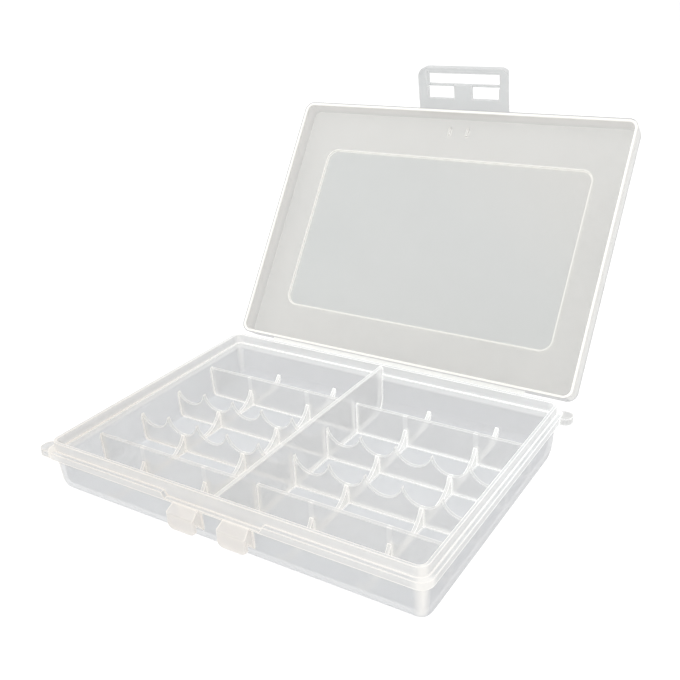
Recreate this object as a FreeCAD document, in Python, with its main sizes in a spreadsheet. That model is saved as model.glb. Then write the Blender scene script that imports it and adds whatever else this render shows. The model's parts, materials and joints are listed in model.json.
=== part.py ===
"""Battery storage case: a shallow tray with a hinged lid and a snap latch.

The tray is split in two halves by a divider. In each half four cross ribs and two
columns of fins make cradles for two cell sizes: long cells lie along X between the
cross ribs, small cells lie along Y in the scallops of the two middle ribs.
The frame: X along the front, Y to the back, Z up, origin under the tray's centre.
The lid stands open as in use, and the latch leans inwards from the lid's free edge.
"""
import FreeCAD, Part
import os

import Sketcher
from FreeCAD import Placement, Rotation, Vector

os.makedirs("parts", exist_ok=True)
doc = FreeCAD.newDocument("BatteryCase")

SIZES = {
    "case_length": (109.8, "flange, end to end"),
    "case_width": (80.8, "flange, front to back"),
    "flange_top": (13.3, "seat of the lid above the table"),
    "flange_thickness": (1.9, "height of the flange's edge"),
    "flange_overhang": (1.3, "flange beyond the raised lip"),
    "flange_corner": (3.0, "corner radius of the flange"),
    "lip_height": (2.55, "raised lip above the flange"),
    "lip_thickness": (0.8, "wall of the raised lip"),
    "lip_corner": (2.6, "corner radius of the lip"),
    "wall_draft": (3.0, "draft of the tray's walls, in degrees"),
    "wall": (1.2, "tray walls"),
    "floor": (1.2, "tray floor"),
    "base_radius": (5.5, "long lower edges of the tray"),
    "end_radius": (2.5, "outline of the tray's ends"),
    "ledge_drop": (0.3, "inner ledge below the flange's top"),
    "notch_width": (27.6, "bottom of the notch in the front flange"),
    "notch_depth": (1.45, "depth of that notch"),
    "notch_end_length": (0.9, "run of each sloping end of the notch"),
    "rib": (1.0, "thickness of cross ribs and fins"),
    "divider": (1.2, "thickness of the centre divider"),
    "divider_height": (14.1, "divider above the floor"),
    "rib_height": (9.2, "cross ribs above the floor"),
    "long_cell_spacing": (15.5, "cross ribs, centre to centre"),
    "small_cell_spacing": (10.4, "scallops, centre to centre"),
    "small_cradle_radius": (5.3, "scallops of the middle ribs"),
    "small_cradle_floor": (5.0, "lowest point of a scallop above the floor"),
    "long_cradle_radius": (8.0, "hollows of the fins"),
    "long_cradle_floor": (0.5, "lowest point of a hollow above the floor"),
    "catch_spacing": (14.8, "catches, centre to centre"),
    "catch_front": (8.3, "width of a catch at its nose"),
    "catch_root": (6.8, "width of a catch at the wall"),
    "catch_reach": (2.4, "nose beyond the flange"),
    "catch_nose_top": (10.2, "top of the nose"),
    "catch_nose_bottom": (5.8, "lower edge of the nose"),
    "catch_undercut": (8.7, "underside behind the nose"),
    "catch_heel": (4.9, "underside where it runs into the wall"),
    "catch_nose_thickness": (1.1, "thickness of the nose's lower lip"),
    "catch_corner": (1.7, "lower corners of the nose"),
    "catch_round": (0.5, "edge radius of the nose"),
    "lug_reach": (2.8, "lug beyond the flange"),
    "lug_width": (4.6, "lug along Y"),
    "lug_round": (2.0, "corner radius of a lug"),
    "lug_inset": (2.6, "lug's centre from the flange's long edge"),
    "web_length": (84.6, "hinge web, end to end"),
    "web_reach": (1.74, "flange's edge to the fold line"),
    "web": (0.4, "hinge web thickness"),
    "fold_radius": (0.2, "bead along a fold line"),
    "fold_clearance": (0.05, "turning leaf from the bead"),
    "lid_open": (125.0, "lid, in degrees from closed"),
    "lid_length": (111.0, "lid, end to end"),
    "lid_width": (80.9, "lid, front to back"),
    "lid_height": (6.5, "lid, from rim to shoulder"),
    "lid_wall": (0.95, "lid skirt"),
    "lid_top": (1.2, "lid top"),
    "lid_draft": (1.5, "draft of the skirt, in degrees"),
    "lid_edge": (1.2, "rounded upper edge of the lid"),
    "panel_length": (90.6, "raised panel of the lid along X"),
    "panel_width": (55.0, "raised panel of the lid along Y"),
    "panel_back": (12.2, "panel from the lid's back edge"),
    "panel_step": (0.5, "rise of the panel"),
    "panel_corner": (4.0, "corner radius of the panel"),
    "nub_width": (0.7, "small stop ridges inside the lid, along X"),
    "nub_length": (2.6, "ridges along Y"),
    "nub_height": (0.8, "height of a ridge"),
    "nub_spacing": (6.0, "ridges, centre to centre"),
    "nub_front": (5.2, "middle of the ridges from the lid's front edge"),
    "latch_axis_height": (4.9, "latch fold line above the lid's rim"),
    "latch_reach": (0.8, "latch fold line beyond the lid"),
    "latch_fold": (47.8, "latch, in degrees short of its closed place"),
    "latch_width": (30.4, "latch, side to side"),
    "latch_taper": (0.9, "latch's sides drawn in at its outer face"),
    "latch_length": (14.1, "latch, fold line to free edge"),
    "latch_root": (0.8, "latch plate's start from the fold line"),
    "latch_plate": (1.1, "plate beside the fold line"),
    "latch_gap": (0.3, "latch's inner face beyond the fold line"),
    "latch_depth": (2.6, "latch's outer face beyond the fold line"),
    "latch_face": (0.8, "outer wall of the latch"),
    "latch_corner": (3.2, "corner radius at the free edge"),
    "latch_border": (3.0, "side walls of the latch"),
    "latch_web": (29.0, "latch's hinge web, side to side"),
    "window_start": (4.6, "windows, from the fold line"),
    "window_end": (8.0, "ledge under the windows, from the fold line"),
    "slot_start": (8.8, "slot, from the fold line"),
    "slot_end": (11.9, "far side of the slot"),
    "hook_start": (13.0, "hooking edge, from the fold line"),
    "window_clearance": (0.3, "windows round the catches"),
    "overrun": (2.0, "cutters beyond what they cut"),
}
CELLS_PER_HALF = 5
SIDES = {"left": -1, "right": 1}
RIB_PITCH_SHARES = {"front_stop": -1.5, "front_cradle": -0.5, "back_cradle": 0.5, "back_stop": 1.5}
FIN_PITCH_SHARES = {"outer": 3.5, "inner": 1.5}
TOUCHING = 1e-6

sheet = doc.addObject("Spreadsheet::Sheet", "Sizes")
for row, (name, (value, meaning)) in enumerate(SIZES.items(), start=1):
    sheet.set(f"A{row}", meaning)
    sheet.set(f"B{row}", str(value))
    sheet.setAlias(f"B{row}", name)
doc.recompute()

FLANGE_HALF_X = "Sizes.case_length / 2"
FLANGE_HALF_Y = "Sizes.case_width / 2"
LIP_HALF_X = "(Sizes.case_length / 2 - Sizes.flange_overhang)"
LIP_HALF_Y = "(Sizes.case_width / 2 - Sizes.flange_overhang)"
LID_HALF_X = "Sizes.lid_length / 2"
WALL_SLOPE = "tan(Sizes.wall_draft * 1 deg)"
LEDGE_Z = "(Sizes.flange_top - Sizes.ledge_drop)"


def size(name):
    """Value of a driving size."""
    return float(getattr(sheet, name))


def bind(obj, formulas):
    """Ties properties of an object to formulas of the driving sizes."""
    for prop, formula in formulas.items():
        obj.setExpression(prop, formula)


def block(name, corner, lengths):
    """Rectangular block from formulas of its lower corner and its lengths."""
    box = doc.addObject("Part::Box", name)
    bind(box, {f"Placement.Base.{axis}": formula for axis, formula in zip("xyz", corner)})
    bind(box, dict(zip(("Length", "Width", "Height"), lengths)))
    doc.recompute()
    return box


def combine(kind, name, *shapes):
    """Cut, Common or MultiFuse of other objects."""
    result = doc.addObject(f"Part::{kind}", name)
    if kind == "MultiFuse":
        result.Shapes = list(shapes)
    else:
        result.Base, result.Tool = shapes
    doc.recompute()
    return result


def edge_run(edge):
    """Absolute steps along X, Y and Z from one end of an edge to the other."""
    step = edge.lastVertex().Point - edge.firstVertex().Point
    return abs(step.x), abs(step.y), abs(step.z)


def is_upright(edge):
    """True for an edge that mostly rises."""
    along_x, along_y, along_z = edge_run(edge)
    return along_z > along_x + along_y


def at_height(edge, height):
    """True for an edge with both ends at one height."""
    return all(abs(vertex.Z - height) < TOUCHING for vertex in edge.Vertexes)


def top_of(shape):
    """Height of the highest corner."""
    return max(vertex.Z for vertex in shape.Vertexes)


def bottom_of(shape):
    """Height of the lowest corner."""
    return min(vertex.Z for vertex in shape.Vertexes)


def round_block(name, base, radius):
    """Block with its upright edges rounded."""
    fillet = doc.addObject("Part::Fillet", name)
    fillet.Base = base
    upright = [n for n, edge in enumerate(base.Shape.Edges, start=1) if is_upright(edge)]
    fillet.Edges = [(number, radius, radius) for number in upright]
    doc.recompute()
    return fillet


def new_body(name):
    """Empty body for sketched features."""
    return doc.addObject("PartDesign::Body", name)


def sketch_on(body, role, name, offset="0"):
    """Sketch on one of the body's own origin planes, moved along its normal."""
    plane = next(item for item in body.Origin.OriginFeatures if item.Role == role)
    sketch = body.newObject("Sketcher::SketchObject", name)
    sketch.AttachmentSupport = [(plane, "")]
    sketch.MapMode = "FlatFace"
    sketch.setExpression("AttachmentOffset.Base.z", offset)
    return sketch


def amount(formula):
    """Present value of a formula."""
    return float(sheet.evalExpression(formula.replace("Sizes.", "")))


def hold(sketch, point, across, up):
    """Places a sketch point at two formulas, measured from the sketch's origin."""
    for kind, formula in (("DistanceX", across), ("DistanceY", up)):
        if formula == "0":
            line = -2 if kind == "DistanceX" else -1
            sketch.addConstraint(Sketcher.Constraint("PointOnObject", point[0], point[1], line))
            continue
        distance = Sketcher.Constraint(kind, -1, 1, point[0], point[1], amount(formula))
        index = sketch.addConstraint(distance)
        sketch.setExpression(f"Constraints[{index}]", formula)


def polygon(sketch, corners):
    """Closed outline of straight lines through corners given as pairs of formulas."""
    points = [Vector(amount(across), amount(up), 0) for across, up in corners]
    start = sketch.GeometryCount
    for here, there in zip(points, points[1:] + points[:1]):
        sketch.addGeometry(Part.LineSegment(here, there), False)
    for index in range(len(points)):
        following = start + (index + 1) % len(points)
        sketch.addConstraint(Sketcher.Constraint("Coincident", start + index, 2, following, 1))
    for index, (across, up) in enumerate(corners):
        hold(sketch, (start + index, 1), across, up)
    doc.recompute()


def rectangle(sketch, left, right, low, high):
    """Rectangle between four formulas."""
    polygon(sketch, [(left, low), (right, low), (right, high), (left, high)])


def circle(sketch, across, up, radius):
    """Circle with its centre and radius given as formulas."""
    centre = Vector(amount(across), amount(up), 0)
    index = sketch.addGeometry(Part.Circle(centre, Vector(0, 0, 1), amount(radius)), False)
    hold(sketch, (index, 3), across, up)
    constraint = sketch.addConstraint(Sketcher.Constraint("Radius", index, amount(radius)))
    sketch.setExpression(f"Constraints[{constraint}]", radius)
    doc.recompute()


def pad(body, sketch, length, midplane=False):
    """Extrusion of a sketch."""
    feature = body.newObject("PartDesign::Pad", sketch.Name + "_pad")
    feature.Profile = sketch
    feature.Midplane = midplane
    feature.setExpression("Length", length)
    body.Tip = feature
    doc.recompute()
    return feature


def draft_walls(body, angle, neutral_height):
    """Leans the upright walls inwards, away from the height where they keep their size."""
    tip = body.Tip
    walls = []
    for number, face in enumerate(tip.Shape.Faces, start=1):
        if abs(face.normalAt(0, 0).z) < TOUCHING:
            walls.append(f"Face{number}")
        elif abs(face.CenterOfMass.z - neutral_height) < TOUCHING:
            neutral = f"Face{number}"
    draft = body.newObject("PartDesign::Draft", body.Name + "_draft")
    draft.Base = (tip, walls)
    draft.NeutralPlane = (tip, [neutral])
    draft.setExpression("Angle", angle)
    body.Tip = draft
    doc.recompute()
    if draft.Shape.Volume > tip.Shape.Volume:
        draft.Reversed = True
        doc.recompute()
    return draft


def pocket(body, sketch, length, reverse=False, midplane=False):
    """Pocket that has to take material away."""
    before = body.Shape.Volume
    feature = body.newObject("PartDesign::Pocket", sketch.Name + "_pocket")
    feature.Profile = sketch
    feature.Midplane = midplane
    feature.Reversed = reverse
    feature.setExpression("Length", length)
    body.Tip = feature
    doc.recompute()
    if not feature.Shape.Volume < before:
        raise RuntimeError(f"{feature.Name} cuts nothing")
    return feature


def repeat(body, feature, sketch, direction, pitch, count, reverse=False):
    """Row of equal features along a sketch axis."""
    row = body.newObject("PartDesign::LinearPattern", feature.Name + "_row")
    row.Originals = [feature]
    row.Direction = (sketch, [direction])
    row.Reversed = reverse
    row.Occurrences = count
    row.setExpression("Length", f"{pitch} * {count - 1}")
    body.Tip = row
    doc.recompute()
    return row


def round_edges(body, name, radius, chosen):
    """Fillet of the edges that pass a test."""
    tip = body.Tip
    fillet = body.newObject("PartDesign::Fillet", name)
    edges = [f"Edge{n}" for n, edge in enumerate(tip.Shape.Edges, start=1) if chosen(edge)]
    fillet.Base = (tip, edges)
    fillet.setExpression("Radius", radius)
    body.Tip = fillet
    doc.recompute()
    return fillet


def trough(name, half_x, half_y, height, low_radius, end_radius):
    """Block whose walls lean outwards to the given top, rounded along its long lower
    edges and then round the outline of both ends."""
    body = new_body(name)
    sketch = sketch_on(body, "XY_Plane", name + "_outline")
    rectangle(sketch, f"-{half_x}", half_x, f"-{half_y}", half_y)
    pad(body, sketch, height)
    draft_walls(body, "Sizes.wall_draft", amount(height))
    round_edges(body, name + "_low_edges", low_radius, is_long_low_edge)
    shape = body.Tip.Shape
    top = top_of(shape)
    outline = []
    for face in shape.Faces:
        normal = face.normalAt(0, 0)
        if abs(normal.x) > abs(normal.y) + abs(normal.z):
            outline += [edge for edge in face.Edges if not at_height(edge, top)]
    round_edges(
        body, name + "_ends", end_radius,
        lambda edge: any(edge.isSame(other) for other in outline),
    )
    return body


def is_long_low_edge(edge):
    """True for the straight edges along X at the bottom of a body."""
    along_x, along_y, _ = edge_run(edge)
    return at_height(edge, 0) and along_x > along_y


def rounded_block(name, half_x, low_y, high_y, low_z, height, radius):
    """Block centred on X with its upright edges rounded."""
    corner = (f"-({half_x})", low_y, low_z)
    box = block(name + "_block", corner, (f"2 * ({half_x})", f"({high_y}) - ({low_y})", height))
    return round_block(name, box, size(radius) if isinstance(radius, str) else radius)


def tray_space():
    """Hollow of the tray: the drafted space below and the wider one inside the lip."""
    inset = f"Sizes.wall + Sizes.ledge_drop * {WALL_SLOPE}"
    low = trough(
        "low_space", f"({LIP_HALF_X} - ({inset}))", f"({LIP_HALF_Y} - ({inset}))",
        f"{LEDGE_Z} - Sizes.floor", "Sizes.base_radius - Sizes.wall", "Sizes.end_radius - Sizes.wall",
    )
    low.setExpression("Placement.Base.z", "Sizes.floor")
    high_x = f"{LIP_HALF_X} - Sizes.lip_thickness"
    high_y = f"{LIP_HALF_Y} - Sizes.lip_thickness"
    high = rounded_block(
        "high_space", high_x, f"-({high_y})", high_y, LEDGE_Z,
        "Sizes.ledge_drop + Sizes.lip_height + Sizes.overrun",
        size("lip_corner") - size("lip_thickness"),
    )
    return combine("MultiFuse", "tray_space", low, high)


def tray_shell(space):
    """Tray with its floor, walls, flange, raised lip and front notch."""
    outer = trough(
        "tray_outer", LIP_HALF_X, LIP_HALF_Y, "Sizes.flange_top",
        "Sizes.base_radius", "Sizes.end_radius",
    )
    flange = rounded_block(
        "flange", FLANGE_HALF_X, f"-({FLANGE_HALF_Y})", FLANGE_HALF_Y,
        "Sizes.flange_top - Sizes.flange_thickness", "Sizes.flange_thickness", "flange_corner",
    )
    lip = rounded_block(
        "lip", LIP_HALF_X, f"-{LIP_HALF_Y}", LIP_HALF_Y,
        "Sizes.flange_top", "Sizes.lip_height", "lip_corner",
    )
    solid = combine("MultiFuse", "tray_solid", outer, flange, lip)
    notched = combine("Cut", "tray_notched", solid, front_notch())
    return combine("Cut", "tray_shell", notched, space)


def front_notch():
    """Cutter that lowers the front flange, with a sloping end on each side."""
    body = new_body("front_notch")
    sketch = sketch_on(body, "XZ_Plane", "notch_outline", LIP_HALF_Y)
    half = "Sizes.notch_width / 2"
    low = "Sizes.flange_top - Sizes.notch_depth"
    high = "Sizes.flange_top + Sizes.overrun"
    rise = "(Sizes.notch_depth + Sizes.overrun) * Sizes.notch_end_length / Sizes.notch_depth"
    polygon(sketch, [
        (f"-{half}", low), (half, low), (f"{half} + {rise}", high), (f"-{half} - {rise}", high),
    ])
    pad(body, sketch, "Sizes.flange_overhang + Sizes.overrun")
    return body


def centre_divider(space):
    """Upright wall from front to back."""
    corner = ("-Sizes.divider / 2", f"-({FLANGE_HALF_Y})", "Sizes.floor")
    lengths = ("Sizes.divider", "Sizes.case_width", "Sizes.divider_height")
    return combine("Common", "centre_divider", block("divider_blank", corner, lengths), space)


def cross_rib(name, side, row, scalloped, space):
    """Rib along X in one half, plain or with a scallop for each small cell."""
    body = new_body(name + "_body")
    sketch = sketch_on(body, "XZ_Plane", name + "_plate")
    inner = f"{side} * Sizes.divider / 2"
    outer = f"{side} * Sizes.case_length / 2"
    top = "Sizes.floor + Sizes.rib_height"
    rectangle(sketch, inner, outer, "0", top)
    pad(body, sketch, "Sizes.rib", midplane=True)
    if scalloped:
        scallop = sketch_on(body, "XZ_Plane", name + "_scallop")
        centre = f"{side} * (Sizes.divider + Sizes.small_cell_spacing) / 2"
        height = "Sizes.floor + Sizes.small_cradle_floor + Sizes.small_cradle_radius"
        circle(scallop, centre, height, "Sizes.small_cradle_radius")
        cut = pocket(body, scallop, "Sizes.rib + Sizes.overrun", midplane=True)
        repeat(body, cut, scallop, "H_Axis", "Sizes.small_cell_spacing", CELLS_PER_HALF, side < 0)
    body.setExpression("Placement.Base.y", f"{row} * Sizes.long_cell_spacing")
    doc.recompute()
    return combine("Common", name, body, space)


def cell_fins(name, side, column, space):
    """Column of fins along Y, hollowed for the long cells and parted by the ribs."""
    body = new_body(name + "_body")
    sketch = sketch_on(body, "YZ_Plane", name + "_plate")
    rectangle(sketch, f"-({FLANGE_HALF_Y})", FLANGE_HALF_Y, "0", "Sizes.floor + Sizes.small_cradle_floor")
    pad(body, sketch, "Sizes.rib", midplane=True)
    hollow = sketch_on(body, "YZ_Plane", name + "_hollow")
    first = f"-Sizes.long_cell_spacing * {CELLS_PER_HALF - 1} / 2"
    height = "Sizes.floor + Sizes.long_cradle_floor + Sizes.long_cradle_radius"
    circle(hollow, first, height, "Sizes.long_cradle_radius")
    cut = pocket(body, hollow, "Sizes.rib + Sizes.overrun", midplane=True)
    repeat(body, cut, hollow, "H_Axis", "Sizes.long_cell_spacing", CELLS_PER_HALF)
    place = f"{side} * (Sizes.divider / 2 + {column} * Sizes.small_cell_spacing)"
    body.setExpression("Placement.Base.x", place)
    doc.recompute()
    column_solid = combine("Common", name + "_column", body, space)
    gaps = []
    for index, row in enumerate(RIB_PITCH_SHARES.values()):
        corner = (f"{place} - Sizes.rib", f"{row} * Sizes.long_cell_spacing - Sizes.rib / 2", "0")
        lengths = ("2 * Sizes.rib", "Sizes.rib", "Sizes.floor + Sizes.rib_height")
        gaps.append(block(f"{name}_gap_{index}", corner, lengths))
    return combine("Cut", name, column_solid, combine("MultiFuse", name + "_gaps", *gaps))


def catch(name, side, tray):
    """Hook on the front wall: sloping top, rounded nose and undercut underside."""
    body = new_body(name + "_body")
    sketch = sketch_on(body, "YZ_Plane", name + "_profile")
    edge = f"-{FLANGE_HALF_Y}"
    nose = f"{edge} - Sizes.catch_reach"
    inside = f"-{LIP_HALF_Y} + Sizes.wall / 2"
    flange_low = "Sizes.flange_top - Sizes.flange_thickness"
    polygon(sketch, [
        (inside, flange_low),
        (edge, flange_low),
        (edge, "Sizes.flange_top - Sizes.notch_depth"),
        (nose, "Sizes.catch_nose_top"),
        (nose, "Sizes.catch_nose_bottom"),
        (f"{nose} + Sizes.catch_nose_thickness", "Sizes.catch_nose_bottom"),
        (f"{nose} + Sizes.catch_nose_thickness", "Sizes.catch_undercut"),
        (inside, "Sizes.catch_heel"),
    ])
    pad(body, sketch, "Sizes.catch_front", midplane=True)
    front, low = amount(nose), size("catch_nose_bottom")
    round_edges(
        body, name + "_corners", "Sizes.catch_corner",
        lambda edge: at_height(edge, low) and edge_run(edge)[1] > edge_run(edge)[0],
    )
    round_edges(
        body, name + "_nose", "Sizes.catch_round",
        lambda edge: abs(edge.CenterOfMass.y - front) < TOUCHING and not is_upright(edge),
    )
    for cheek, turn in SIDES.items():
        flare = sketch_on(body, "XY_Plane", f"{name}_{cheek}_flare")
        polygon(flare, [
            (f"{turn} * Sizes.catch_front / 2", nose),
            (f"{turn} * Sizes.catch_root / 2", f"-{LIP_HALF_Y}"),
            (f"{turn} * Sizes.catch_root / 2", inside),
            (f"{turn} * (Sizes.catch_front / 2 + Sizes.overrun)", inside),
            (f"{turn} * (Sizes.catch_front / 2 + Sizes.overrun)", nose),
        ])
        pocket(body, flare, "2 * Sizes.flange_top", midplane=True)
    body.setExpression("Placement.Base.x", f"{side} * Sizes.catch_spacing / 2")
    doc.recompute()
    return combine("Cut", name, body, tray)


def corner_lug(name, side, flange):
    """Small rounded lug on an end of the flange, near a corner."""
    centre_y = f"{side} * (Sizes.case_width / 2 - Sizes.lug_inset)"
    half = f"({FLANGE_HALF_X} + Sizes.lug_reach)"
    inner = f"({FLANGE_HALF_X} - Sizes.lug_width)"
    left = f"-{half}" if side < 0 else inner
    low = "Sizes.flange_top - Sizes.flange_thickness"
    corner = (left, f"{centre_y} - Sizes.lug_width / 2", low)
    lengths = (f"{half} - {inner}", "Sizes.lug_width", "Sizes.flange_thickness")
    blank = round_block(name + "_blank", block(name + "_block", corner, lengths), size("lug_round"))
    return combine("Cut", name, blank, flange)


def fold_bead(name, half, x_axis_y, height):
    """Thin bead along a fold line."""
    bead = doc.addObject("Part::Cylinder", name)
    bind(bead, {"Radius": "Sizes.fold_radius", "Height": f"2 * ({half})"})
    bead.Placement = Placement(Vector(0, 0, 0), Rotation(Vector(0, 1, 0), 90))
    bind(bead, {
        "Placement.Base.x": f"-({half})",
        "Placement.Base.y": x_axis_y,
        "Placement.Base.z": height,
    })
    doc.recompute()
    return bead


def tray_hinge_web():
    """Half of the lid's hinge web that stays on the tray, with the fold's bead."""
    half = "Sizes.web_length / 2"
    fold_y = f"{FLANGE_HALF_Y} + Sizes.web_reach"
    leaf = block(
        "tray_leaf", (f"-{half}", FLANGE_HALF_Y, "Sizes.flange_top - Sizes.web"),
        ("Sizes.web_length", "Sizes.web_reach", "Sizes.web"),
    )
    root = block(
        "tray_fold_root", (f"-{half}", f"{fold_y} - Sizes.fold_radius", "Sizes.flange_top"),
        ("Sizes.web_length", "Sizes.fold_radius", "Sizes.fold_radius"),
    )
    bead = fold_bead("tray_bead", half, fold_y, "Sizes.flange_top + Sizes.fold_radius")
    return combine("MultiFuse", "tray_hinge_web", leaf, root, bead)


def lid_blank(name, half_x, back, front, height, radius, edge):
    """Cap that narrows upwards, with rounded corners and a rounded upper edge."""
    body = new_body(name)
    sketch = sketch_on(body, "XY_Plane", name + "_rim")
    rectangle(sketch, f"-({half_x})", half_x, front, back)
    pad(body, sketch, height)
    draft_walls(body, "Sizes.lid_draft", 0)
    round_edges(body, name + "_corners", radius, is_upright)
    top = top_of(body.Shape)
    if edge:
        round_edges(body, name + "_top_edge", edge, lambda item: at_height(item, top))
    return body


def lid_shell():
    """Lid in its own frame: the fold line is the origin, the closed lid runs to -Y."""
    back = "-Sizes.web_reach"
    front = "-(Sizes.web_reach + Sizes.lid_width)"
    cap = lid_blank(
        "lid_cap", LID_HALF_X, back, front, "Sizes.lid_height", "Sizes.flange_corner", "Sizes.lid_edge",
    )
    inside = lid_blank(
        "lid_inside", f"{LID_HALF_X} - Sizes.lid_wall", f"{back} - Sizes.lid_wall",
        f"{front} + Sizes.lid_wall", "Sizes.lid_height - Sizes.lid_top",
        "Sizes.flange_corner - Sizes.lid_wall", "",
    )
    panel_back = f"{back} - Sizes.panel_back"
    raised = rounded_block(
        "lid_panel", "Sizes.panel_length / 2", f"{panel_back} - Sizes.panel_width", panel_back,
        "Sizes.lid_height - Sizes.lid_top", "Sizes.lid_top + Sizes.panel_step", "panel_corner",
    )
    inset = "Sizes.panel_step"
    recess = rounded_block(
        "lid_recess", f"Sizes.panel_length / 2 - {inset}",
        f"{panel_back} - Sizes.panel_width + {inset}", f"{panel_back} - {inset}",
        "Sizes.lid_height - Sizes.lid_top - Sizes.overrun", "Sizes.panel_step + Sizes.overrun",
        size("panel_corner") - size("panel_step"),
    )
    solid = combine("MultiFuse", "lid_solid", cap, raised)
    hollow = combine("MultiFuse", "lid_hollow", inside, recess)
    shell = combine("Cut", "lid_hollowed", solid, hollow)
    return combine("MultiFuse", "lid_shell", shell, *stop_nubs(front))


def stop_nubs(front):
    """Two small ridges inside the lid, beside the latch."""
    nubs = []
    for side, turn in SIDES.items():
        corner = (
            f"({turn} * Sizes.nub_spacing - Sizes.nub_width) / 2",
            f"{front} + Sizes.nub_front - Sizes.nub_length / 2",
            "Sizes.lid_height - Sizes.lid_top - Sizes.nub_height",
        )
        lengths = ("Sizes.nub_width", "Sizes.nub_length", "Sizes.nub_height + Sizes.lid_top / 2")
        nubs.append(block(f"nub_{side}", corner, lengths))
    return nubs


def lid_hinge_web():
    """Half of the hinge web on the lid, flat above the fold line when closed."""
    low = "Sizes.fold_radius + Sizes.fold_clearance"
    return film("lid_hinge_web", "-Sizes.web_reach", "0", low, f"{low} + Sizes.web", "Sizes.web_length")


def film(name, left, right, low, high, length):
    """Thin strip along X, from its section across Y and Z."""
    body = new_body(name)
    sketch = sketch_on(body, "YZ_Plane", name + "_section")
    rectangle(sketch, left, right, low, high)
    pad(body, sketch, length, midplane=True)
    return body


def latch_hinge_web(lid_cap):
    """Thin strip and bead on the lid's front edge, where the latch folds."""
    front = "-(Sizes.web_reach + Sizes.lid_width)"
    axis_y = f"{front} - Sizes.latch_reach"
    half = "Sizes.latch_web / 2"
    slope = "Sizes.lid_height * tan(Sizes.lid_draft * 1 deg)"
    strip = block(
        "latch_strip",
        (f"-{half}", axis_y, "Sizes.latch_axis_height"),
        (
            "Sizes.latch_web", f"Sizes.latch_reach + {slope} + Sizes.lid_edge",
            "Sizes.fold_radius",
        ),
    )
    bead = fold_bead("latch_bead", half, axis_y, "Sizes.latch_axis_height")
    return combine("Cut", "latch_hinge_web", combine("MultiFuse", "latch_fold", strip, bead), lid_cap)


def latch_plate():
    """Latch in its own frame: the fold line is the origin, the closed latch hangs
    down and its outer face looks to -Y."""
    body = new_body("latch_plate")
    half = "Sizes.latch_width / 2"
    outline = sketch_on(body, "XZ_Plane", "latch_outline", "Sizes.latch_gap")
    rectangle(outline, f"-{half}", half, "-Sizes.latch_length", "-Sizes.latch_root")
    pad(body, outline, "Sizes.latch_depth - Sizes.latch_gap")
    low = bottom_of(body.Shape)
    round_edges(
        body, "latch_corners", "Sizes.latch_corner",
        lambda edge: at_height(edge, low) and edge_run(edge)[1] > edge_run(edge)[0],
    )
    relief = sketch_on(body, "XZ_Plane", "latch_relief", "Sizes.latch_depth")
    wide = f"({half} + Sizes.overrun)"
    rectangle(relief, f"-{wide}", wide, "-Sizes.window_end", "Sizes.overrun")
    pocket(body, relief, "Sizes.latch_depth - Sizes.latch_gap - Sizes.latch_plate")
    inner = "(Sizes.catch_spacing / 2 - Sizes.catch_front / 2 - Sizes.window_clearance)"
    outer = "(Sizes.catch_spacing / 2 + Sizes.catch_front / 2 + Sizes.window_clearance)"
    for side, turn in SIDES.items():
        window = sketch_on(body, "XZ_Plane", f"window_{side}", "Sizes.latch_depth")
        rectangle(window, f"{turn} * {inner}", f"{turn} * {outer}", "-Sizes.window_end", "-Sizes.window_start")
        pocket(body, window, "Sizes.latch_depth")
        bay = sketch_on(body, "XZ_Plane", f"bay_{side}", "Sizes.latch_gap")
        rectangle(
            bay, f"{turn} * {inner}", f"{turn} * ({half} - Sizes.latch_border)",
            "-Sizes.hook_start", "-Sizes.window_end",
        )
        pocket(body, bay, "Sizes.latch_depth - Sizes.latch_gap - Sizes.latch_face", reverse=True)
    middle = sketch_on(body, "XZ_Plane", "bay_middle", "Sizes.latch_gap")
    rectangle(middle, f"-{inner}", inner, "-Sizes.hook_start", "-Sizes.slot_start")
    pocket(body, middle, "Sizes.latch_depth - Sizes.latch_gap - Sizes.latch_face", reverse=True)
    slot = sketch_on(body, "XZ_Plane", "latch_slot", "Sizes.latch_depth")
    border = f"({half} - Sizes.latch_border)"
    rectangle(slot, f"-{border}", border, "-Sizes.slot_end", "-Sizes.slot_start")
    pocket(body, slot, "Sizes.latch_face + Sizes.latch_gap")
    for side, turn in SIDES.items():
        taper = sketch_on(body, "XY_Plane", f"latch_taper_{side}")
        polygon(taper, [
            (f"{turn} * {half}", "-Sizes.latch_gap"),
            (f"{turn} * ({half} - Sizes.latch_taper)", "-Sizes.latch_depth"),
            (f"{turn} * {wide}", "-Sizes.latch_depth"),
            (f"{turn} * {wide}", "-Sizes.latch_gap"),
        ])
        pocket(body, taper, "3 * Sizes.latch_length", midplane=True)
    return body


def latch_root_web():
    """Thin root of the latch, just clear of the bead of its fold line."""
    near = "-(Sizes.fold_radius + Sizes.fold_clearance)"
    far = f"{near} - Sizes.web"
    return film("latch_root_web", far, near, "-Sizes.latch_root", "0", "Sizes.latch_web")


def lid_pose():
    """Placement of the lid's frame at the open angle."""
    axis = Vector(0, size("case_width") / 2 + size("web_reach"), size("flange_top") + size("fold_radius"))
    return Placement(axis, Rotation(Vector(1, 0, 0), -size("lid_open")))


def latch_pose():
    """Placement of the latch's frame on the open lid."""
    reach = size("web_reach") + size("lid_width") + size("latch_reach")
    axis = Vector(0, -reach, size("latch_axis_height"))
    return lid_pose().multiply(Placement(axis, Rotation(Vector(1, 0, 0), -size("latch_fold"))))


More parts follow.
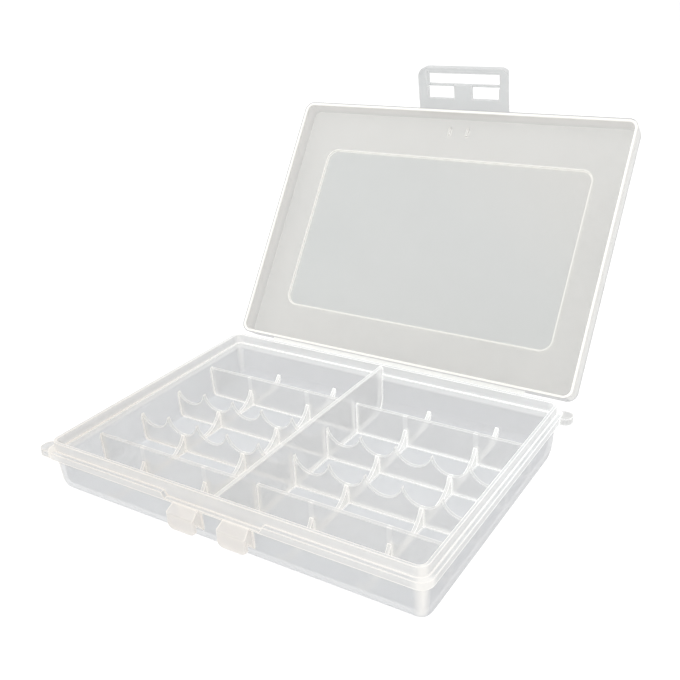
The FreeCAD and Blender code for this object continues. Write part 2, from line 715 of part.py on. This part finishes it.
def build():
    """Builds every sub-part and returns them by name."""
    space = tray_space()
    tray = tray_shell(space)
    nodes = {"tray_shell": tray, "centre_divider": centre_divider(space)}
    for side, turn in SIDES.items():
        for row, place in RIB_PITCH_SHARES.items():
            name = f"{row}_rib_{side}"
            nodes[name] = cross_rib(name, turn, place, "cradle" in row, space)
        for column, place in FIN_PITCH_SHARES.items():
            name = f"{column}_fins_{side}"
            nodes[name] = cell_fins(name, turn, place, space)
        nodes[f"catch_{side}"] = catch(f"catch_{side}", turn, tray)
    flange = doc.getObject("flange")
    nodes["lug_front_left"] = corner_lug("lug_front_left", -1, flange)
    nodes["lug_back_right"] = corner_lug("lug_back_right", 1, flange)
    nodes["tray_hinge_web"] = tray_hinge_web()
    nodes["lid_shell"] = posed(lid_shell(), lid_pose())
    nodes["lid_hinge_web"] = posed(lid_hinge_web(), lid_pose())
    nodes["latch_hinge_web"] = posed(latch_hinge_web(doc.getObject("lid_cap")), lid_pose())
    nodes["latch_plate"] = posed(latch_plate(), latch_pose())
    nodes["latch_root_web"] = posed(latch_root_web(), latch_pose())
    return nodes


def posed(piece, pose):
    """A piece of the lid or latch in its place on the open lid."""
    piece.Placement = pose.multiply(piece.Placement)
    doc.recompute()
    return piece


def main():
    nodes = build()
    doc.recompute()
    for item in doc.Objects:
        if "Invalid" in item.State or "Error" in item.State:
            raise RuntimeError(f"{item.Name} failed: {item.State}")
    for name, node in nodes.items():
        node.Label = name
        if node.Shape.isNull() or not node.Shape.isValid() or not node.Shape.Solids:
            raise RuntimeError(f"{name} has no valid solid")
    for name, node in nodes.items():
        node.Shape.exportStep(f"parts/{name}.step")
        box = node.Shape.BoundBox
        print(
            f"{name}: {len(node.Shape.Solids)} solids, {node.Shape.Volume:.1f} mm3, "
            f"x {box.XMin:.1f}..{box.XMax:.1f}, y {box.YMin:.1f}..{box.YMax:.1f}, "
            f"z {box.ZMin:.1f}..{box.ZMax:.1f}"
        )


main()
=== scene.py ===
"""Looks of the frosted battery case: its materials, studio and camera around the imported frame."""
import json
import math

import bpy
from mathutils import Matrix, Vector

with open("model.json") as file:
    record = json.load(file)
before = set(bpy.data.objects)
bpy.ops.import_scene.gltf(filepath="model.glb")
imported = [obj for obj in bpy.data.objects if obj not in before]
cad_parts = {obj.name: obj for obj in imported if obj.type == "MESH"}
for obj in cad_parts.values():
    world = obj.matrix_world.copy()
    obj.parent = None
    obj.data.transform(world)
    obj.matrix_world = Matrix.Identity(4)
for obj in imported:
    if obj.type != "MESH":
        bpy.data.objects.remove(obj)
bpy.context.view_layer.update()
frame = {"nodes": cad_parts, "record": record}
NODES = frame["nodes"]
SLOTS = {part["node"]: part["material_slot"] for part in frame["record"]["subparts"]}
RIGHT, BACK, UP = (1.0, 0.0, 0.0), (0.0, 1.0, 0.0), (0.0, 0.0, 1.0)

# The camera that a pinhole fit gave for the photograph's angle, in degrees, metres and pixels.
AZIMUTH, ELEVATION, ROLL = 33.014, 23.625, -2.775
DISTANCE = 0.295526
TARGET = Vector((-0.030244, 0.063599, 0.008))
FOCAL_PIXELS, PICTURE_PIXELS, SENSOR = 880.47, 680, 36.0
CLIP_NEAR, CLIP_FAR = 0.01, 20

# The lid's fold line and opening, for the tones of its frame and panel, in metres and degrees.
FOLD = Vector((0.0, 0.04214, 0.0135))
LID_LEAN = 55.0
# Outlines up the lid from the fold line: near side, far side, half length and corner radius.
RIM = (0.00174, 0.08264, 0.0555, 0.0030)
PANEL = (0.01444, 0.06844, 0.0448, 0.0035)
FIN_PLANES = (0.0162, 0.0370)  # the fins' places along X, either side of the divider

# Each slot's look: colour, opacity face on and edge on, roughness, and the reach of its painted edge
# highlights and of the soft painted glow round them. The hinge film has neither.
LOOKS = {
    "tray": {"color": (0.45, 0.465, 0.485), "face": 0.60, "edge": 0.72, "rough": 0.34,
             "line": 0.0004, "glow": 0.0010},
    "partitions": {"color": (0.55, 0.55, 0.545), "face": 0.42, "edge": 0.50, "rough": 0.34,
                   "line": 0.0003, "glow": 0.0007},
    "lid": {"color": (0.50, 0.495, 0.475), "face": 0.62, "edge": 0.74, "rough": 0.36,
            "line": 0.0005, "glow": 0.0009},
    "latch": {"color": (0.52, 0.53, 0.53), "face": 0.60, "edge": 0.72, "rough": 0.30,
              "line": 0.0004, "glow": 0.0007},
    "catches": {"color": (0.665, 0.635, 0.605), "face": 0.52, "edge": 0.70, "rough": 0.34,
                "line": 0.0004, "glow": 0.0009},
    "hinge_film": {"color": (0.80, 0.80, 0.77), "face": 0.62, "edge": 0.76, "rough": 0.25},
}

# Colours of the places that differ from their slot's own, and of the studio.
# Painted highlight colours for the plastic's edges: cool, warm towards the front left, and the lid's own.
EDGE_HIGHLIGHT_COOL, EDGE_HIGHLIGHT_WARM, EDGE_HIGHLIGHT_LID = (0.97, 0.975, 0.96), (0.76, 0.72, 0.665), (0.90, 0.89, 0.84)
MOTTLE_SHADE = (0.955, 0.96, 0.965)
PANEL_DARK, PANEL_LIGHT, PANEL_CORNER = (0.432, 0.447, 0.438), (0.455, 0.465, 0.455), (0.492, 0.488, 0.468)
LID_FRAME_TOP, LID_SKIRT, LID_OUTER_RIM = (0.512, 0.508, 0.488), (0.60, 0.585, 0.555), (0.42, 0.42, 0.43)
# Painted light and shade on the tray's walls by which way they face: shaded inside, lit outside, most at the
# front.
WALL_INSIDE_SHADED, WALL_FRONT_LIT, WALL_SIDE_LIT = (0.375, 0.385, 0.40), (0.515, 0.525, 0.535), (0.455, 0.46, 0.475)
LUG_TONE, LATCH_FILM = (0.53, 0.53, 0.525), (0.56, 0.56, 0.54)
PAPER, WORLD_WHITE = (0.93, 0.93, 0.93), (1.0, 1.0, 1.0, 1)

# Where a tone or a line comes in, in metres: the place where it is absent, then the one where it is full.
PANEL_EDGE = (0.0003, -0.0003)  # past the panel's outline
PANEL_FADE = (0.055, 0.095)  # up the lid and to the right
FRAME_FADE = (0.045, 0.078)  # up the lid
SKIRT_DEPTH = (0.0052, 0.0030)  # out from the rim's plane, as the next four
SKIRT_GLOW_DEPTH = (0.0050, 0.0040)
SKIRT_EDGE_DEPTH = (0.0060, 0.0063)
RIM_LINE_DEPTH = (0.0005, 0.0002)
PANEL_LINE_DEPTH = (0.0050, 0.0052)
PANEL_LINE = (0.00045, 0.00015)  # either side of the panel's outline
OUTER_RIM = (-0.0004, -0.0002)  # past the rim's outline
INNER_RIM = (-0.0002, -0.0004)
RIDGE_SIDE, RIDGE_FOOT, RIDGE_TOP = (0.0050, 0.0042), (0.0735, 0.0745), (0.0785, 0.0780)
RIGHT_SKIRT = (0.0538, 0.0543)  # along X
TRAY_EDGE_HEIGHT = (0.0104, 0.0112)  # above the table, as the next six
TRAY_RIM_HEIGHT = (0.0110, 0.0116)
TRAY_GLOW_HEIGHT = (0.0030, 0.0060)
PARTITION_FOOT_HEIGHT = (0.0034, 0.0020)
WALL_FOOT_HEIGHT = (0.0016, 0.0042)
ABOVE_UNDERSIDE, BELOW_RIB_TOPS = (0.0004, 0.0006), (0.0040, 0.0030)
LATCH_FILM_HEIGHT = (0.050, 0.060)
FIN_BODY, FIN_FOOT = (0.0009, 0.0005), (0.0004, 0.0002)  # either side of a fin's plane
CORNER_ACROSS, CORNER_BACK = (0.0506, 0.0526), (0.0360, 0.0380)  # from the tray's middle
INSIDE_WALLS = (0.0362, 0.0358)
BESIDE_DIVIDER = (0.0012, 0.0010)
LUG_ACROSS = (0.040, 0.045)
FACING_IN, FACING_OUT = (-0.012, -0.030), (0.012, 0.030)  # the normal's way from the CAD's origin
HIGHLIGHT_WARM_PLACES = (-0.03, 0.045)  # where the painted edge highlights turn warm, along the way on the next line
HIGHLIGHT_WARM_WAY = (-0.5, -1.0, 0.0)

# Shares of full strength: the first four are of the painted highlights.
SEAM_LINE, CORNER_LINE, FIN_GLOW, GLOW_HIGHLIGHT_SHARE = 0.85, 0.45, 0.4, 0.6
GLOW_COVER, LINE_COVER = 0.12, 0.45
FAR_SIDE_COVER = 0.2  # what is left of a wall's far side, so that a wall covers once
UNSEEN_COVER = 0.15  # what is left for shadows and for light from other surfaces
# How strong the painted edge highlights are on the latch and the catches.
EDGE_HIGHLIGHT_STRENGTH = {"latch": 0.12, "catches": 0.5}

# Measures without a unit, as above: where they count for nothing, then where they count in full.
LINE_TURN, GLOW_TURN = (0.998, 0.92), (0.9995, 0.86)  # a rounded normal along the flat one
SEAM_LIGHT, SEAM_REACH = (0.84, 0.55), 0.0008  # the light that reaches a corner, and how near in metres
TOP_FACING, SIDE_FACING = (0.97, 0.90), (0.5, 0.9)  # a normal's share along the level axes, and along X
MOTTLE_SPAN, ROUGH_SPAN, PANEL_SPAN, CLOUD_SPAN = (0.3, 0.7), (0.25, 0.75), (0.35, 0.65), (0.3, 0.7)

# Each noise's scale and detail.
MOTTLE, GRAIN, CLOUDS = (55.0, 4.0), (900.0, 3.0), (18.0, 2.0)
PANEL_CLOUDS, PAPER_CLOUDS = (16.0, 1.0), (9.0, 3.0)

# The studio: half the floor's side, its drop under the part and the world's strength; then the lamps'
# names, places, sides and watts, and the place that they are aimed at.
FLOOR_HALF, FLOOR_DROP, WORLD_STRENGTH = 3.0, 0.0002, 1.1
LAMPS = (
    ("key", (-0.55, -0.35, 0.75), 0.6, 1.8),
    ("fill", (0.75, -0.55, 0.5), 0.8, 0.8),
    ("back", (0.1, 0.7, 0.8), 0.7, 0.9),
)
LAMP_AIM = Vector((0, 0.02, 0.03))


class Nodes:
    """Short calls for building one material's node tree."""

    def __init__(self, name):
        self.material = bpy.data.materials.new(name)
        self.material.use_nodes = True
        self.tree = self.material.node_tree
        self.tree.nodes.clear()

    def add(self, kind, **values):
        node = self.tree.nodes.new("ShaderNode" + kind)
        for name, value in values.items():
            setattr(node, name, value)
        return node

    def join(self, source, target):
        self.tree.links.new(source, target)

    def value(self, kind, out, inputs, **settings):
        """A node with its inputs set or linked; gives its output socket."""
        node = self.add(kind, **settings)
        for name, item in inputs.items():
            socket = node.inputs[name]
            if isinstance(item, bpy.types.NodeSocket):
                self.join(item, socket)
            else:
                socket.default_value = item
        return node.outputs[out]

    def math(self, operation, first, second=0.0, clamp=False):
        return self.value("Math", 0, {0: first, 1: second}, operation=operation, use_clamp=clamp)

    def times(self, first, second):
        return self.math("MULTIPLY", first, second)

    def plus(self, first, second, clamp=False):
        return self.math("ADD", first, second, clamp)

    def less(self, first, second):
        return self.math("SUBTRACT", first, second)

    def larger(self, first, second):
        return self.math("MAXIMUM", first, second)

    def size(self, source):
        return self.math("ABSOLUTE", source)

    def span(self, source, low, high, to_low=0.0, to_high=1.0):
        """source mapped from low..high to to_low..to_high, held at the ends."""
        return self.value("MapRange", "Result", {
            "Value": source, "From Min": low, "From Max": high, "To Min": to_low, "To Max": to_high,
        }, clamp=True)

    def noise(self, place, scale, detail):
        return self.value("TexNoise", "Fac", {"Vector": place, "Scale": scale, "Detail": detail})

    def mix(self, share, first, second):
        """Colours mixed by a share; each is a socket or three numbers."""
        first, second = (item if isinstance(item, bpy.types.NodeSocket) else tuple(item) + (1.0,)
                         for item in (first, second))
        return self.value("Mix", 2, {0: share, 6: first, 7: second}, data_type="RGBA")

    def along(self, place, direction):
        """Distance along a direction, in the CAD's frame."""
        return self.value("VectorMath", "Value", {0: place, 1: direction}, operation="DOT_PRODUCT")

    def aside(self, place, direction):
        """Distance along a direction, either way from the middle."""
        return self.size(self.along(place, direction))

    def place(self):
        return self.add("TexCoord").outputs["Object"]

    def normal(self):
        return self.add("NewGeometry").outputs["Normal"]

    def near_edge(self, radius, turn):
        """1 at the piece's own edges, falling to 0 within about the radius."""
        rounded = self.value("Bevel", "Normal", {"Radius": radius}, samples=6)
        return self.span(self.along(rounded, self.normal()), *turn)

    def finished(self, surface):
        """The material, with its surface joined to the output."""
        self.join(surface, self.add("OutputMaterial").inputs["Surface"])
        return self.material


def past_outline(nodes, height, across, outline):
    """Distance outwards from a rounded outline on the lid, and at least minus its radius inside it."""
    near, far, half, radius = outline
    along = nodes.size(across)
    up = nodes.size(nodes.less(height, (near + far) / 2))
    along = nodes.larger(nodes.less(along, half - radius), 0.0)
    up = nodes.larger(nodes.less(up, (far - near) / 2 - radius), 0.0)
    squares = nodes.plus(nodes.times(along, along), nodes.times(up, up))
    return nodes.less(nodes.math("SQRT", squares), radius)


def lid_places(nodes, place):
    """Distances up the open lid from its fold line, out from its rim's plane, and along X."""
    lean = math.radians(LID_LEAN)
    up, out = (0.0, math.cos(lean), math.sin(lean)), (0.0, math.sin(lean), -math.cos(lean))
    height, depth = (nodes.less(nodes.along(place, way), Vector(way).dot(FOLD)) for way in (up, out))
    return height, depth, nodes.along(place, RIGHT)


def lid_tone(nodes, place, base):
    """The panel is a little cooler than its frame, and paler towards its upper right corner."""
    height, depth, across = lid_places(nodes, place)
    inside = nodes.span(past_outline(nodes, height, across, PANEL), *PANEL_EDGE)
    panel = nodes.mix(nodes.span(nodes.noise(place, *PANEL_CLOUDS), *PANEL_SPAN), PANEL_DARK, PANEL_LIGHT)
    corner = nodes.plus(nodes.times(across, 0.7), height)
    panel = nodes.mix(nodes.span(corner, *PANEL_FADE), panel, PANEL_CORNER)
    frame_tone = nodes.mix(nodes.span(height, *FRAME_FADE), base, LID_FRAME_TOP)
    tone = nodes.mix(inside, frame_tone, panel)
    tone = nodes.mix(nodes.span(depth, *SKIRT_DEPTH), tone, LID_SKIRT)
    outer = nodes.span(past_outline(nodes, height, across, RIM), *OUTER_RIM)
    return nodes.mix(outer, tone, LID_OUTER_RIM)


def edge_highlight_strength(nodes, place, slot):
    """How strong a slot's painted edge highlights are: most at the rims, the seams on the floor and the fins.
    """
    height = nodes.along(place, UP)
    if slot == "tray":
        return nodes.span(height, *TRAY_EDGE_HEIGHT, 0.45, 1.0)
    if slot == "partitions":
        feet = nodes.span(height, *PARTITION_FOOT_HEIGHT, 0.1, 1.0)
        return nodes.larger(feet, fins(nodes, place, *FIN_BODY))
    if slot == "lid":
        height, depth, across = lid_places(nodes, place)
        ridges = nodes.times(nodes.span(nodes.size(across), *RIDGE_SIDE), nodes.span(height, *RIDGE_TOP))
        ridges = nodes.times(ridges, nodes.span(height, *RIDGE_FOOT, 0.0, 0.3))
        return nodes.larger(nodes.span(depth, *SKIRT_EDGE_DEPTH, 0.04, 0.4), ridges)
    return EDGE_HIGHLIGHT_STRENGTH[slot]


def fins(nodes, place, outer, inner):
    """1 in the planes of the fins, falling to 0 between the two distances from them."""
    across = nodes.aside(place, RIGHT)
    planes = [nodes.span(nodes.size(nodes.less(across, middle)), outer, inner) for middle in FIN_PLANES]
    return nodes.larger(*planes)


def upright_corners(nodes, place):
    """1 in the tray's four upright corners."""
    return nodes.times(nodes.span(nodes.aside(place, RIGHT), *CORNER_ACROSS),
                       nodes.span(nodes.aside(place, BACK), *CORNER_BACK))


def painted_glow_places(nodes, place, slot):
    """Paler places beside the edges, a painted glow: the tray's rim and its corners, the fins, and the lid's
    right skirt.
    """
    if slot == "partitions":
        return nodes.times(fins(nodes, place, *FIN_BODY), FIN_GLOW)
    if slot == "lid":
        _, depth, across = lid_places(nodes, place)
        return nodes.times(nodes.span(across, *RIGHT_SKIRT, 0.0, 0.75), nodes.span(depth, *SKIRT_GLOW_DEPTH))
    rim = nodes.span(nodes.along(place, UP), *TRAY_RIM_HEIGHT, 0.0, 0.6)
    return nodes.larger(upright_corners(nodes, place), rim)


def painted_highlight_lines(nodes, place, slot):
    """Painted highlight lines where a wall shows its thickness or foot: rib tops, the fins' feet, the lid's
    rim and panel.
    """
    if slot == "lid":
        height, depth, across = lid_places(nodes, place)
        ring = nodes.span(nodes.size(past_outline(nodes, height, across, PANEL)), *PANEL_LINE, 0.0, 0.6)
        ring = nodes.times(ring, nodes.span(depth, *PANEL_LINE_DEPTH))
        rim = nodes.times(nodes.span(depth, *RIM_LINE_DEPTH, 0.0, 0.8),
                          nodes.span(past_outline(nodes, height, across, RIM), *INNER_RIM))
        return nodes.larger(ring, rim)
    if slot == "tray":
        up = nodes.along(place, UP)
        feet = nodes.times(fins(nodes, place, *FIN_FOOT), nodes.span(up, *ABOVE_UNDERSIDE, 0.0, 0.6))
        feet = nodes.times(feet, nodes.span(nodes.aside(place, BACK), *INSIDE_WALLS))
        feet = nodes.times(feet, nodes.span(up, *BELOW_RIB_TOPS))
        return nodes.larger(feet, nodes.times(upright_corners(nodes, place), CORNER_LINE))
    flat = nodes.normal()
    tops = nodes.span(nodes.larger(nodes.aside(flat, RIGHT), nodes.aside(flat, BACK)), *TOP_FACING)
    return nodes.times(tops, nodes.span(nodes.aside(place, RIGHT), *BESIDE_DIVIDER, 0.20, 0.5))


def painted_edge_highlights(nodes, place, slot, look):
    """Painted highlights where the plastic's edges would gather light: bright sharp lines, and the soft
    painted glow beside them.
    """
    strength = edge_highlight_strength(nodes, place, slot)
    line = nodes.times(nodes.near_edge(look["line"], LINE_TURN), strength)
    glow = nodes.near_edge(look["glow"], GLOW_TURN)
    if slot in ("tray", "partitions", "catches"):
        # Seams are painted bright where ambient occlusion finds a nearby part.
        corner = nodes.value("AmbientOcclusion", "AO", {"Distance": SEAM_REACH}, samples=6)
        line = nodes.larger(line, nodes.times(nodes.span(corner, *SEAM_LIGHT), SEAM_LINE))
    if slot in ("tray", "partitions", "lid"):
        line = nodes.larger(line, painted_highlight_lines(nodes, place, slot))
    if slot in ("lid", "latch"):
        glow = nodes.times(glow, strength)
    if slot == "tray":
        glow = nodes.times(glow, nodes.span(nodes.along(place, UP), *TRAY_GLOW_HEIGHT, 0.1, 1.0))
    if slot in ("tray", "partitions", "lid"):
        glow = nodes.larger(glow, painted_glow_places(nodes, place, slot))
    return line, glow


def tray_painted_shading(nodes, outward, base):
    """Painted light and shade by which way a wall faces: the tray's walls are paler outside, most of all at
    the front, and darker inside.
    """
    tone = nodes.mix(nodes.span(outward, *FACING_IN), base, WALL_INSIDE_SHADED)
    outer = nodes.mix(nodes.span(nodes.aside(nodes.normal(), RIGHT), *SIDE_FACING), WALL_FRONT_LIT, WALL_SIDE_LIT)
    return nodes.mix(nodes.span(outward, *FACING_OUT), tone, outer)


def base_tone(nodes, place, slot, look, mottle, outward):
    """The plastic's colour without the painted edge highlights; on the tray it holds painted light and shade
    by which way a wall faces.
    """
    dark = tuple(part * share for part, share in zip(look["color"], MOTTLE_SHADE))
    base = nodes.mix(nodes.span(mottle, *MOTTLE_SPAN), dark, look["color"])
    if slot == "lid":
        return lid_tone(nodes, place, base)
    if slot == "tray":
        return tray_painted_shading(nodes, outward, base)
    if slot == "hinge_film":
        return nodes.mix(nodes.span(nodes.along(place, UP), *LATCH_FILM_HEIGHT), base, LATCH_FILM)
    if slot == "catches":
        return nodes.mix(nodes.span(nodes.aside(place, RIGHT), *LUG_ACROSS), base, LUG_TONE)
    return base


def covering(nodes, place, slot, look, outward, line, glow):
    """How much of what lies behind is covered: least face on, most at the edges and for the eye."""
    facing = nodes.value("LayerWeight", "Facing", {"Blend": 0.35})
    cover = nodes.span(facing, 0.0, 1.0, look["face"], look["edge"])
    cover = nodes.times(cover, nodes.span(nodes.noise(place, *CLOUDS), *CLOUD_SPAN, 0.97, 1.03))
    if slot == "tray":
        foot = nodes.span(nodes.along(place, UP), *WALL_FOOT_HEIGHT, 1.45, 1.0)
        outside = nodes.span(outward, *FACING_OUT)
        cover = nodes.times(cover, nodes.plus(1.0, nodes.times(outside, nodes.less(foot, 1.0))))
    if slot in ("tray", "partitions"):
        far_side = nodes.add("NewGeometry").outputs["Backfacing"]
        cover = nodes.times(cover, nodes.span(far_side, 0.0, 1.0, 1.0, FAR_SIDE_COVER))
    cover = nodes.plus(cover, nodes.times(glow, GLOW_COVER))
    cover = nodes.plus(cover, nodes.times(line, LINE_COVER), clamp=True)
    rays = nodes.add("LightPath")
    unseen = nodes.larger(rays.outputs["Is Shadow Ray"], rays.outputs["Is Diffuse Ray"])
    return nodes.times(cover, nodes.span(unseen, 0.0, 1.0, 1.0, UNSEEN_COVER))


def frosted(name, slot, look):
    """Milky moulded polypropylene with painted highlights on its edges; light from the room passes its thin
    walls.
    """
    nodes = Nodes(name)
    place = nodes.place()
    mottle = nodes.noise(place, *MOTTLE)
    grain = nodes.noise(place, *GRAIN)
    outward = nodes.along(nodes.normal(), place)
    # line and glow are the masks of the painted edge highlights.
    line, glow = painted_edge_highlights(nodes, place, slot, look) if "line" in look else (0.0, 0.0)

    base = base_tone(nodes, place, slot, look, mottle, outward)
    # Painted highlights: the glow and the lines mix the colour towards a near-white edge colour, warmer
    # towards the front left.
    highlight_warmth = nodes.span(nodes.along(place, HIGHLIGHT_WARM_WAY), *HIGHLIGHT_WARM_PLACES)
    bright = EDGE_HIGHLIGHT_LID if slot == "lid" else nodes.mix(highlight_warmth, EDGE_HIGHLIGHT_COOL, EDGE_HIGHLIGHT_WARM)
    color = nodes.mix(nodes.times(glow, GLOW_HIGHLIGHT_SHARE), base, bright)
    color = nodes.mix(line, color, bright)
    rough = nodes.span(mottle, *ROUGH_SPAN, look["rough"] - 0.05, look["rough"] + 0.07)
    bump = nodes.value("Bump", "Normal", {
        "Strength": 0.05, "Distance": 0.0002, "Height": nodes.plus(grain, mottle),
    })
    return nodes.finished(nodes.value("BsdfPrincipled", "BSDF", {
        "Base Color": color, "Roughness": rough, "Normal": bump, "IOR": 1.49, "Specular IOR Level": 0.4,
        "Alpha": covering(nodes, place, slot, look, outward, line, glow),
    }))


def paper(name, color):
    """The pale studio floor."""
    nodes = Nodes(name)
    faint = nodes.noise(nodes.place(), *PAPER_CLOUDS)
    tone = nodes.mix(faint, tuple(part * 0.995 for part in color), color)
    return nodes.finished(nodes.value("BsdfPrincipled", "BSDF", {
        "Base Color": tone, "Roughness": 0.9, "Specular IOR Level": 0.1,
    }))


def dress():
    """Every CAD node gets its slot's material."""
    made = {slot: frosted("plastic_" + slot, slot, look) for slot, look in LOOKS.items()}
    for name, node in NODES.items():
        node.data.materials.clear()
        node.data.materials.append(made[SLOTS[name]])


def studio():
    """A pale floor, a bright even world and three large soft lamps."""
    mesh = bpy.data.meshes.new("floor")
    corners = [(FLOOR_HALF * x, FLOOR_HALF * y, 0) for x, y in ((-1, -1), (1, -1), (1, 1), (-1, 1))]
    mesh.from_pydata(corners, [], [(0, 1, 2, 3)])
    mesh.materials.append(paper("studio_paper", PAPER))
    floor = bpy.data.objects.new("floor", mesh)
    floor.location.z = -FLOOR_DROP
    bpy.context.scene.collection.objects.link(floor)

    world = bpy.data.worlds.new("studio")
    bpy.context.scene.world = world
    world.use_nodes = True
    backdrop = world.node_tree.nodes["Background"]
    backdrop.inputs["Color"].default_value = WORLD_WHITE
    backdrop.inputs["Strength"].default_value = WORLD_STRENGTH

    for name, place, size, power in LAMPS:
        light = bpy.data.lights.new(name, "AREA")
        light.shape = "SQUARE"
        light.size = size
        light.energy = power
        lamp = bpy.data.objects.new(name, light)
        lamp.location = place
        lamp.rotation_euler = (LAMP_AIM - lamp.location).to_track_quat("-Z", "Y").to_euler()
        bpy.context.scene.collection.objects.link(lamp)


def shoot():
    """The camera of the photograph."""
    azimuth, elevation, roll = (math.radians(angle) for angle in (AZIMUTH, ELEVATION, ROLL))
    level = math.cos(elevation)
    back = Vector((math.sin(azimuth) * level, -math.cos(azimuth) * level, math.sin(elevation)))
    right = (-back).cross(Vector(UP)).normalized()
    up = right.cross(-back)
    right, up = (math.cos(roll) * right + math.sin(roll) * up,
                 -math.sin(roll) * right + math.cos(roll) * up)
    data = bpy.data.cameras.new("photo_view")
    data.sensor_width = SENSOR
    data.lens = FOCAL_PIXELS * SENSOR / PICTURE_PIXELS
    data.clip_start, data.clip_end = CLIP_NEAR, CLIP_FAR
    camera = bpy.data.objects.new("photo_view", data)
    turned = Matrix((right, up, back)).transposed().to_4x4()
    camera.matrix_world = Matrix.Translation(TARGET + back * DISTANCE) @ turned
    bpy.context.scene.collection.objects.link(camera)
    bpy.context.scene.camera = camera


shoot()
dress()
studio()

bpy.context.scene.view_settings.view_transform = "Standard"
bpy.context.scene.cycles.transparent_max_bounces = 32
bpy.context.view_layer.update()
